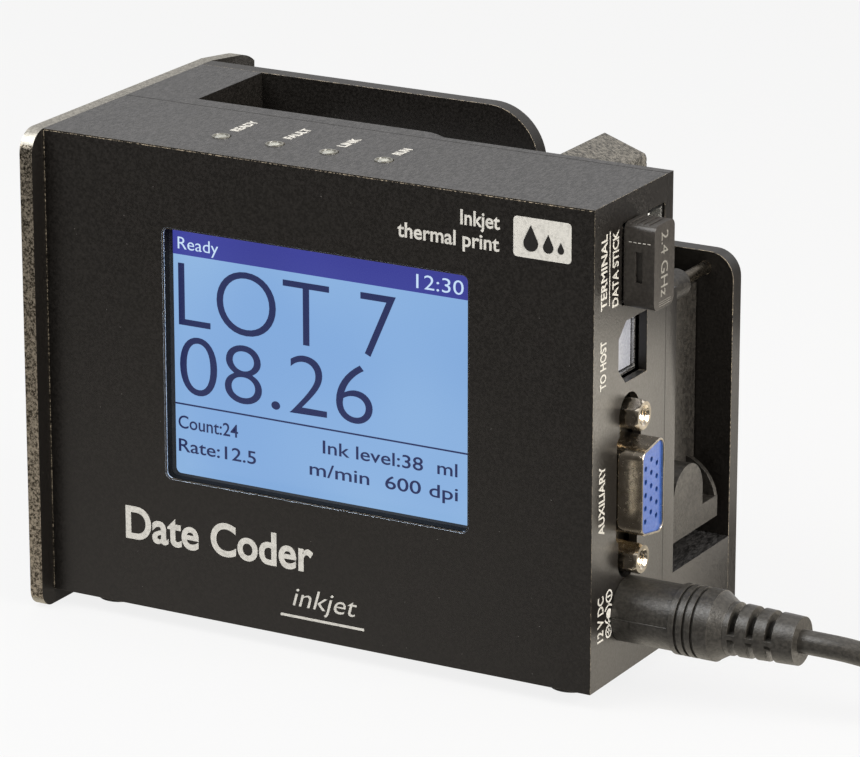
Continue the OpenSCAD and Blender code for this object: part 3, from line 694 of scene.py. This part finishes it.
def wear_plate_face(normal, centre):
    """Coated on both sides, bare on its cut edges, with the front edge scuffed."""
    if abs(normal.x) > SQUARE_ON:
        return 0
    return 2 if normal.y < -SQUARE_ON else 1


def cover_seam():
    """A dark strip where the cover meets the chassis, along the top and the connector side: painted
    shadow of the gap.
    """
    rule("seam_top", at(0, cover_d + SEAM / 2, case_h), case_w, SEAM, X, Y, DARK_INK_AND_SHADE, SEAM_THICK)
    rule("seam_side", at(case_w, cover_d + SEAM / 2, 0), case_h, SEAM, Z, -Y, DARK_INK_AND_SHADE, SEAM_THICK)


def rubbed_and_lit_edges():
    """Thin bright lines along the cover's top and left front edges: worn coating, and painted edge
    highlight where the light falls on them.
    """
    drop, height = RUB_TOP
    rule("rubbed_top", at(RUB_MARGIN, 0, case_h - drop), case_w - 2 * RUB_MARGIN, height, X, Z,
         RUBBED_AND_HIGHLIGHT, RUB_THICK)
    inset, width = RUB_LEFT
    rule("rubbed_left", at(inset, 0, drop), case_h - 2 * drop, width, Z, -X, RUBBED_AND_HIGHLIGHT, RUB_THICK)


def make_case():
    cover_seam()
    rubbed_and_lit_edges()
    dress("front_cover", CASE, WORN, CASE_TOP_SHEEN, MATT_SHADE, round_mm=0.22, segments=2, edge=1, pick=cover_face)
    # The chassis top takes the lighter black: painted sheen.
    dress("chassis", CASE, CASE_TOP_SHEEN, round_mm=0.15, pick=faces_up)
    dress("rear_plate", CASE, WORN, round_mm=0.22, segments=3, edge=1)
    dress("wear_plate", CASE, SILVER, SCUFFED, round_mm=0.15, pick=wear_plate_face)
    dress("feet", RUBBER, round_mm=0.4, segments=3)


HEAD_R, HEAD_H, SHANK_R, TIP_CHAMFER = 2.8, 1.6, 1.5, (0.25, 0.4)
RIM_DROP, RIM_PLAY, RIM_ROUND = 0.12, 0.02, 0.12
SOCKET_R, SOCKET_HALF, SOCKET_DEPTH, SOCKET_CHAMFER, SOCKET_POINT = 1.3, 1.12, 1.1, 0.15, 0.2


def screw_profile(length):
    """A countersunk head with a hexagonal socket on a shank with a chamfered tip."""
    tip_in, tip_up = TIP_CHAMFER
    return [
        (0, -length), (SHANK_R - tip_in, -length), (SHANK_R, -length + tip_up),
        (SHANK_R, -HEAD_H), (HEAD_R - RIM_PLAY, -RIM_DROP), (HEAD_R - RIM_ROUND, 0),
        (SOCKET_R + SOCKET_CHAMFER, 0), (SOCKET_R, -RIM_DROP, SOCKET_HALF),
        (SOCKET_R, -SOCKET_DEPTH, SOCKET_HALF), (0, -SOCKET_DEPTH - SOCKET_POINT)]


def make_screws(node, metal, outward):
    """Countersunk screws with a hexagonal socket; outward is the sign of the head's direction."""
    jobs = []
    for low, high in islands(node):
        size = high - low
        k = max(range(3), key=lambda i: size[i])
        axis = Vector([outward if i == k else 0 for i in range(3)])
        head = (low + high) / 2
        head[k] = high[k] if outward > 0 else low[k]
        jobs.append((screw_profile(size[k] / MM), head, axis))
    stand_in(turned(node + "_heads", metal, jobs), node)


make_case()
make_screws("cover_screws", DARK_STEEL, -1)
make_screws("wear_plate_screws", STEEL, -1)
make_screws("rear_plate_screws", DARK_STEEL, 1)

# ---------------------------------------------------------------- markings

FONT_CAP = 0.729
SIDE_LABELS = [
    ("TERMINAL", 4.4, 65.4, 12.6), ("DATA STICK", 8.4, 65.0, 12.8), ("TO HOST", 4.4, 51.8, 8.4),
    ("AUXILIARY", 4.4, 26.8, 12.0), ("12 V DC", 4.4, 8.2, 7.9)]
SIDE_CAP = 2.1
SIDE_BOLD = 0.022
TERMINAL_RULE, TERMINAL_RULE_SIZE = (5.5, 65.6), (12.6, 0.26)
POLARITY_START, POLARITY_HEIGHT = (8.0, 8.0), 1.6
PLUS_U, PIN_U, MINUS_U = 1.2, 4.3, 7.4
SIGN_RING, SIGN_HALF, RING_LINE, SIGN_LINE = 1.0, 0.6, 0.32, 0.3
PIN_R, SLEEVE_R, SLEEVE_SWEEP = 0.85, 1.55, (60, -240)
SIGN_LINES = (("inner", (2.2, 3.6)), ("outer", (5.85, 6.4)))
TOP_LABELS = ["READY", "FAULT", "LINK", "RUN"]
TOP_CAP, TOP_PITCH, TOP_BOLD = 1.7, 1.42, 0.035
TOP_START = (0.8, 4.0)
FRONT_WORDS = [
    ("maker", "Inkjet", 81.0, 77.4, 2.6, 7.3, 0.018, 0.0),
    ("process", "thermal print", 69.2, 73.7, 2.6, 19.0, 0.018, 0.0),
    ("name", "Date Coder", 15.2, 12.2, 6.0, 37.5, 0.022, 0.0),
    ("kind", "inkjet", 48.6, 5.6, 3.6, 12.6, -0.004, 0.25)]
TILE_CORNER, TILE_SIZE, TILE_ROUND, TILE_LIFT = (90.8, 0, 73.4), (10.6, 6.8), 0.7, 0.05
DROPS = [(3.2, 2.5, 1.35), (6.4, 2.2, 0.95), (8.7, 2.0, 0.6)]
LINE_START, LINE_SIZE = (46.2, 0, 3.4), (16.4, 0.45)


def label_top():
    for words, low_high in zip(TOP_LABELS, lamp_boxes):
        lens = (low_high[0] + low_high[1]) / 2
        start = Vector((lens.x + TOP_START[0] * MM, lens.y + TOP_START[1] * MM, case_high.z))
        lettering("label_" + words.lower(), words, start, TOP_CAP, Y, -X, PAINT,
                  width=TOP_PITCH * len(words), bold=TOP_BOLD)


def label_side():
    for words, y, z, length in SIDE_LABELS:
        name = "label_" + "".join(c for c in words.lower() if c.isalnum())
        lettering(name, words, at(case_w, y, z), SIDE_CAP, Z, -Y, SIDE_INK, length, SIDE_BOLD)
    rule("label_rule", at(case_w, *TERMINAL_RULE), *TERMINAL_RULE_SIZE, Z, -Y, SIDE_INK)


def label_polarity():
    """The sign for a plug with its plus on the centre pin, standing on end."""
    start = at(case_w, *POLARITY_START)
    height = POLARITY_HEIGHT

    def draw(name, outline):
        mark("polarity_" + name, outline, start, Z, -Y, PAINT)

    for name, u in (("plus", PLUS_U), ("minus", MINUS_U)):
        draw(name + "_ring", stroke(arc((u, height), SIGN_RING, 0, 360), RING_LINE))
        draw(name, stroke([(u, height - SIGN_HALF), (u, height + SIGN_HALF)], SIGN_LINE))
    bar = [(PLUS_U - SIGN_HALF, height), (PLUS_U + SIGN_HALF, height)]
    draw("plus_bar", stroke(bar, SIGN_LINE))
    draw("pin", arc((PIN_U, height), PIN_R, 0, 360))
    draw("sleeve", stroke(arc((PIN_U, height), SLEEVE_R, *SLEEVE_SWEEP), SIGN_LINE))
    for name, ends in SIGN_LINES:
        draw("line_" + name, stroke([(u, height) for u in ends], SIGN_LINE))


def drop_outline(centre, size):
    """A falling drop: a round belly under a point."""
    belly = arc(centre, size, 150, 390, 24)
    return belly + [(centre[0], centre[1] + 2.3 * size)]


def label_front():
    for name, words, x, z, cap, width, bold, slant in FRONT_WORDS:
        lettering("mark_" + name, words, at(x, 0, z), cap, X, Z, PAINT, width, bold, slant)
    corner = at(*TILE_CORNER)
    mark("mark_tile", round_box(*TILE_SIZE, TILE_ROUND), corner, X, Z, PAINT)
    above = corner - Y * TILE_LIFT * MM
    for k, (u, v, size) in enumerate(DROPS):
        mark(f"mark_drop_{k}", drop_outline((u, v), size), above, X, Z, DARK_INK_AND_SHADE)
    rule("mark_line", at(*LINE_START), *LINE_SIZE, X, Z, PAINT)


LAMP_PLAY, LAMP_LIP, LAMP_FOOT = 0.02, 0.06, -7.0
LAMP_WELL = [(0.80, -0.02), (0.76, -0.16), (0.68, -0.20), (0, -0.20)]
LAMP_DOME = [(0, -0.5), (0.62, -0.5), (0.60, -0.16), (0.50, -0.06), (0.28, -0.01), (0, 0)]


def make_lamps():
    """Clear lenses, each a ringed rim in its hole round a shallow dome; the dome is a lighter grey than
    the rim, a painted highlight.
    """
    for node in LAMP_NODES:
        low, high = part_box(node)
        centre = middle(node)
        radius = (high.x - low.x) / 2 / MM - LAMP_PLAY
        lens = Vector((centre.x, low.y + radius * MM, high.z))
        rim = [(0, LAMP_FOOT), (radius, LAMP_FOOT), (radius, -0.10), (radius - LAMP_LIP, -0.02)]
        rim += [(radius * share, along) for share, along in LAMP_WELL]
        dome = [(radius * share, along) for share, along in LAMP_DOME]
        stand_in(turned(node + "_lens", LAMP, [(rim, lens, Z)]), node)
        keep(turned(node + "_dome", LAMP_CENTRE_HIGHLIGHT, [(dome, lens, Z)]))


LAMP_NODES = ["led_sensor", "led_alarm", "led_link", "led_print"]
lamp_boxes = [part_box(node) for node in LAMP_NODES]
make_lamps()
label_top()
label_side()
label_polarity()
label_front()

# ---------------------------------------------------------------- screen

GASKET_RIM = 3.0
BAR_Z = 39.1
DIVIDER_Z, DIVIDER_HEIGHT = 12.4, 0.28
BAND_LIFT, WORD_LIFT = 0.03, 0.09
SCREEN_WORDS = [
    ("state", "Ready", 1.0, 40.1, 2.25, 8.0, SCREEN_LIGHT, -0.006),
    ("clock", "12:30", 47.3, 39.85, 2.6, 8.9, SCREEN_LIGHT, -0.006),
    ("row_1", "LOT 7", 1.0, 26.5, 12.1, 42.4, SCREEN_NAVY, -0.012),
    ("row_2", "08.26", 1.1, 14.4, 11.2, 37.8, SCREEN_NAVY, -0.012),
    ("count", "Count:24", 0.6, 8.2, 2.4, 11.9, SCREEN_NAVY, 0.006),
    ("speed", "Rate:12.5", 0.6, 4.0, 2.4, 15.4, SCREEN_NAVY, 0.006),
    ("ink", "Ink level:38  ml", 29.2, 8.2, 2.4, 25.9, SCREEN_NAVY, 0.006),
    ("pitch", "m/min  600 dpi", 26.6, 4.0, 2.4, 28.6, SCREEN_NAVY, 0.006)]
BRIGHT_LIP, BRIGHT_LIP_PROUD, BRIGHT_LIP_DEPTH, OPENING_ROUND = 0.22, 0.015, 0.42, 1.0


def make_screen():
    low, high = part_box("lcd_panel")
    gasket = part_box("lcd_gasket")
    rim = GASKET_RIM * MM
    left, bottom = gasket[0].x + rim, gasket[0].z + rim
    width = (gasket[1].x - gasket[0].x - 2 * rim) / MM
    height = (gasket[1].z - gasket[0].z - 2 * rim) / MM
    stand_in(screen_panel(low, high), "lcd_panel")

    def on_screen(u, v, lift=BAND_LIFT):
        return Vector((left + u * MM, low.y - lift * MM, bottom + v * MM))

    rule("screen_bar", on_screen(-1, BAR_Z), width + 2, height - BAR_Z + 1, X, Z, SCREEN_BAR)
    rule("screen_rule", on_screen(-1, DIVIDER_Z), width + 2, DIVIDER_HEIGHT, X, Z, SCREEN_NAVY)
    for name, words, u, v, cap, length, finish, bold in SCREEN_WORDS:
        lettering("screen_" + name, words, on_screen(u, v, WORD_LIFT), cap, X, Z, finish, length, bold)
    window_edge(Vector((left, case_low.y, bottom)), width, height)


def screen_panel(low, high):
    """The display: a lit front with a dark glass edge round it."""
    bm = bmesh.new()
    bmesh.ops.create_cube(bm, size=1.0)
    bmesh.ops.scale(bm, vec=high - low, verts=bm.verts)
    bmesh.ops.translate(bm, vec=(low + high) / 2, verts=bm.verts)
    for face in bm.faces:
        face.material_index = 0 if face.normal.y < -0.5 else 1
    return soften(from_bmesh("lcd_panel_lit", bm, [SCREEN, GLASS_EDGE]), 0.2)


def window_edge(start, width, height):
    """A thin bright bluish lip round the screen opening."""
    lip = BRIGHT_LIP
    inner = round_box(width, height, OPENING_ROUND)
    wider = round_box(width + 2 * lip, height + 2 * lip, OPENING_ROUND + lip)
    outer = [(u - lip, v - lip) for u, v in wider]
    bm = bmesh.new()
    rows = [
        [bm.verts.new(start + X * u * MM + Z * v * MM + Y * depth * MM) for u, v in outline]
        for outline, depth in ((outer, -BRIGHT_LIP_PROUD), (inner, lip), (inner, BRIGHT_LIP_DEPTH))
    ]
    count = len(inner)
    for a, b in zip(rows, rows[1:]):
        for k in range(count):
            bm.faces.new([a[k], a[(k + 1) % count], b[(k + 1) % count], b[k]])
    bmesh.ops.recalc_face_normals(bm, faces=bm.faces)
    edge = from_bmesh("window_bright_lip", bm, [EDGE_BRIGHT])
    keep(edge)


make_screen()

# ---------------------------------------------------------------- inside the case

dress("lcd_gasket", FOAM, round_mm=0)
dress("lcd_frame", STEEL, round_mm=0.1)
for node, finish in (("lcd_flex", AMBER), ("main_pcb", BOARD), ("pcb_standoffs", BRASS),
                     ("pcb_screws", STEEL), ("coin_cell", STEEL), ("cell_holder", PLASTIC),
                     ("usb_a_tongues", WHITE), ("dsub_housing", PLASTIC), ("dc_jack", PLASTIC),
                     ("contact_block", PLASTIC), ("contact_pins", BRASS),
                     ("contact_flex", AMBER), ("cartridge_contacts", BRASS)):
    paint(node, finish)
dress("nozzle_plate", AMBER, round_mm=0.05)
dress("photocell", LENS_DARK, round_mm=0.5, segments=3)

# ---------------------------------------------------------------- connectors


def shade_outward_faces(piece):
    """Gives the faces that look outward a darker copy of the nickel: painted shade."""
    piece.data.materials.append(NICKEL_SHADED)
    for face in piece.data.polygons:
        if face.normal.x > SQUARE_ON:
            face.material_index = 1


NUT_SHANK = [(0, -10.9), (1.5, -10.9), (1.5, -5.4), (2.45, -5.4)]
NUT_HEXAGON, HALF_FLAT = [(2.74, -5.15), (2.74, -0.65), (2.58, -0.35)], 2.38
NUT_FACE = [(2.38, 0), (1.75, 0)]
NUT_ROOT, NUT_CREST = (1.55, -0.2), (1.32, -0.45)
THREAD_TURNS, THREAD_PITCH = 9, 0.5
BORE_END = [(1.25, -5.0), (0, -5.0)]


def nut_profile():
    """A round shank, a hexagonal head with a chamfered face, and a threaded bore."""
    profile = NUT_SHANK + [(radius, along, HALF_FLAT) for radius, along in NUT_HEXAGON] + NUT_FACE
    for k in range(THREAD_TURNS):
        for radius, along in (NUT_ROOT, NUT_CREST):
            profile.append((radius, along - THREAD_PITCH * k))
    return profile + BORE_END


def make_nuts():
    """The two jackscrews beside the wide connector."""
    jobs = []
    for box_low, box_high in islands("dsub_jackscrews"):
        centre = (box_low + box_high) / 2
        face = Vector((box_high.x, centre.y, centre.z))
        jobs.append((nut_profile(), face, X))
    nuts = turned("dsub_jackscrews_turned", NICKEL, jobs)
    shade_outward_faces(nuts)
    stand_in(nuts, "dsub_jackscrews")


make_nuts()
dress("usb_a_shell", STEEL, DARK_STEEL, round_mm=0.1, pick=faces_right)
dress("usb_b_shell", STEEL, round_mm=0.1)
dress("usb_b_core", LILAC, round_mm=0.25)
# The shell's faces turned to +X take the darker nickel: painted shade.
dress("dsub_shell", NICKEL, NICKEL_SHADED, round_mm=0.3, segments=3, pick=faces_right)
dress("dsub_insert", BLUE, round_mm=0.05)

# ---------------------------------------------------------------- bay


SPRING_WIRE, SPRING_STEPS = 0.68, 20


def make_spring():
    """Close-wound torsion spring round the retainer's pin."""
    low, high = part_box("lever_spring")
    centre, wire, steps = (low + high) / 2, SPRING_WIRE, SPRING_STEPS
    radius = (high.x - low.x) / 2 / MM - wire / 2
    length = (high.y - low.y) / MM - wire
    turns = round(length / wire)
    curve = bpy.data.curves.new("lever_spring_wire", "CURVE")
    curve.dimensions = "3D"
    curve.bevel_depth = wire / 2 * MM
    curve.bevel_resolution = 3
    curve.use_fill_caps = True
    spline = curve.splines.new("POLY")
    spline.points.add(turns * steps)
    for k, point in enumerate(spline.points):
        a = 2 * pi * k / steps
        along = -length / 2 + length * k / (turns * steps)
        spot = centre + (X * radius * cos(a) + Z * radius * sin(a) + Y * along) * MM
        point.co = (*spot, 1.0)
    curve.materials.append(BRONZED)
    stand_in(bpy.data.objects.new("lever_spring_wire", curve), "lever_spring")


make_spring()
dress("cross_pin", BRONZED, round_mm=0.2)
dress("retainer_lever", LEVER, round_mm=0.12)
dress("cartridge_body", PLASTIC, round_mm=0.6, segments=3)
dress("cartridge_lid", PLASTIC, round_mm=0.5, segments=3)
dress("cartridge_grip", LEATHERY, round_mm=3.0, segments=6)

# ---------------------------------------------------------------- receiver


DASHES, DASH_START, DASH_STEP, DASH_DROP, DASH_SIZE = 5, 0.9, 0.85, 3.1, (0.5, 0.14)
SIDE_LINES, SIDE_LINE_INSET, SIDE_LINE_LOW, SIDE_LINE_STEP = 3, 1.6, 0.5, 0.35
SIDE_LINE_SIZE = (4.4, 0.07)
BAND_WORDS, BAND_INSET, BAND_DROP = "2.4 GHz", 1.2, 1.4
BAND_CAP, BAND_LENGTH, BAND_BOLD = 2.5, 11.0, 0.002


def make_receiver():
    """The wireless receiver, its row of dashes, and the faint print on its side."""
    dress("receiver_body", HOUSING, round_mm=0.3, segments=3)
    dress("receiver_plug", STEEL, round_mm=0.1)
    low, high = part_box("receiver_body")
    front = Vector((low.x, low.y, high.z))
    for k in range(DASHES):
        start = front + (X * (DASH_START + DASH_STEP * k) - Z * DASH_DROP) * MM
        rule(f"receiver_dash_{k}", start, *DASH_SIZE, X, Z, PAINT, body="receiver")
    for k in range(SIDE_LINES):
        rise = SIDE_LINE_LOW + SIDE_LINE_STEP * k
        start = Vector((high.x, low.y + SIDE_LINE_INSET * MM, low.z + rise * MM))
        rule(f"receiver_line_{k}", start, *SIDE_LINE_SIZE, Y, Z, FAINT_INK, body="receiver")
    beside = middle("receiver_body").y - BAND_INSET * MM
    lettering("receiver_band", BAND_WORDS, Vector((high.x, beside, high.z - BAND_DROP * MM)),
              BAND_CAP, -Z, Y, FAINT_INK, width=BAND_LENGTH, bold=BAND_BOLD, body="receiver")


make_receiver()

# ---------------------------------------------------------------- room

FLOOR_SIDE = 8.0
FLOOR_DROP = 0.0002
FLOOR_COLOUR, FLOOR_DARK, FLOOR_LIGHT = (0.07,) * 3, (0.068,) * 3, (0.072,) * 3
FLOOR_GLOW, FLOOR_CLOUD = 0.845, 400.0
ROOM_COLOUR = (0.10, 0.094, 0.086)
ROOM_LOBES = [
    ((-0.3, 0.85, 0.38), 60, (0.95, 0.95, 0.97)),
    ((0.0, 0.0, 1.0), 60, (0.9, 0.9, 0.9)),
    ((0.05, 0.15, -1.0), 62, (1.3, 1.2, 1.02))]
CARDS = [
    ("card_right", [(136, 85, -60), (260, 85, -60), (260, 85, 34), (136, 85, 34)],
     (1.0, 0.92, 0.79), (0.8, 4.2)),
    ("card_rear", [(114, 85, 4), (134, 85, 4), (134, 85, 38), (114, 85, 38)],
     (1.0, 0.94, 0.86), (0.7, 1.2)),
    ("card_front", [(-420, -170, -260), (20, -170, -260), (20, -170, -20), (-420, -170, -20)],
     (1.0, 0.93, 0.85), (0.70, 0.42)),
    ("card_back", [(-330, 230, 60), (110, 230, 60), (110, 230, 330), (-330, 230, 330)],
     (1.0, 0.985, 0.98), (0.45, 0.80))]
LIGHTS = [
    ("key", at(-250, -350, 600), at(50, 20, 40), (0.5, 0.5), 5.0, (1, 1, 1)),
    ("side", at(620, -60, 260), at(105, 20, 40), (0.35, 0.35), 5.0, (1.0, 0.96, 0.90))]


def make_floor():
    bm = bmesh.new()
    bmesh.ops.create_grid(bm, x_segments=1, y_segments=1, size=FLOOR_SIDE / 2)
    for v in bm.verts:
        v.co.z = floor_z - FLOOR_DROP
    f = Finish("floor_pale", FLOOR_COLOUR, 0.9, specular=0.0)
    f.blend_colour(f.noise(FLOOR_CLOUD), FLOOR_DARK, FLOOR_LIGHT)
    f.set("Emission Color", (1.0, 1.0, 1.0, 1.0))
    f.set("Emission Strength", FLOOR_GLOW)
    floor = from_bmesh("floor", bm, [f.made])
    bpy.context.scene.collection.objects.link(floor)
    floor.visible_glossy = False


def make_world(base, lobes):
    """An even room with soft bright patches: (direction, half width in degrees, colour)."""
    world = bpy.data.worlds.new("studio")
    world.use_nodes = True
    nodes, links = world.node_tree.nodes, world.node_tree.links
    background = nodes["Background"]
    direction = nodes.new("ShaderNodeTexCoord").outputs["Generated"]
    total = nodes.new("ShaderNodeRGB").outputs[0]
    total.default_value = (*base, 1.0)
    for aim, half, colour in lobes:
        dot = nodes.new("ShaderNodeVectorMath")
        dot.operation = "DOT_PRODUCT"
        dot.inputs[1].default_value = Vector(aim).normalized()
        links.new(direction, dot.inputs[0])
        spread = nodes.new("ShaderNodeMapRange")
        spread.interpolation_type = "SMOOTHSTEP"
        spread.inputs["From Min"].default_value = cos(radians(half))
        links.new(dot.outputs["Value"], spread.inputs["Value"])
        add = nodes.new("ShaderNodeMix")
        add.data_type = "RGBA"
        add.blend_type = "ADD"
        add.clamp_result = False
        links.new(spread.outputs["Result"], add.inputs[0])
        links.new(total, add.inputs[6])
        add.inputs[7].default_value = (*colour, 1.0)
        total = add.outputs[2]
    links.new(total, background.inputs["Color"])
    bpy.context.scene.world = world


def reflector(name, corners, colour, strength):
    """A glowing card that shows only in gloss, from its lower edge's glow to its upper edge's."""
    bm = bmesh.new()
    bm.faces.new([bm.verts.new(at(*corner)) for corner in corners])
    material = bpy.data.materials.new(name)
    material.use_nodes = True
    nodes, links = material.node_tree.nodes, material.node_tree.links
    nodes.remove(nodes["Principled BSDF"])
    glow = nodes.new("ShaderNodeEmission")
    glow.inputs["Color"].default_value = (*colour, 1.0)
    height = nodes.new("ShaderNodeSeparateXYZ")
    links.new(nodes.new("ShaderNodeTexCoord").outputs["Generated"], height.inputs["Vector"])
    ramp = nodes.new("ShaderNodeMapRange")
    ramp.inputs["To Min"].default_value, ramp.inputs["To Max"].default_value = strength
    links.new(height.outputs["Z"], ramp.inputs["Value"])
    links.new(ramp.outputs["Result"], glow.inputs["Strength"])
    links.new(glow.outputs["Emission"], nodes["Material Output"].inputs["Surface"])
    card = from_bmesh(name, bm, [material])
    bpy.context.scene.collection.objects.link(card)
    card.visible_camera = False
    card.visible_diffuse = False
    card.visible_shadow = False
    card.visible_transmission = False


def softbox(name, place, aim, size, power, colour):
    data = bpy.data.lights.new(name, "AREA")
    data.shape = "RECTANGLE"
    data.size, data.size_y = size
    data.energy = power
    data.color = colour
    light = bpy.data.objects.new(name, data)
    light.location = place
    light.rotation_euler = (aim - place).to_track_quat("-Z", "Y").to_euler()
    light.visible_camera = False
    bpy.context.scene.collection.objects.link(light)


make_floor()
make_world(ROOM_COLOUR, ROOM_LOBES)
for card in CARDS:
    reflector(*card)
for light in LIGHTS:
    softbox(*light)
bpy.context.scene.view_settings.view_transform = "Standard"
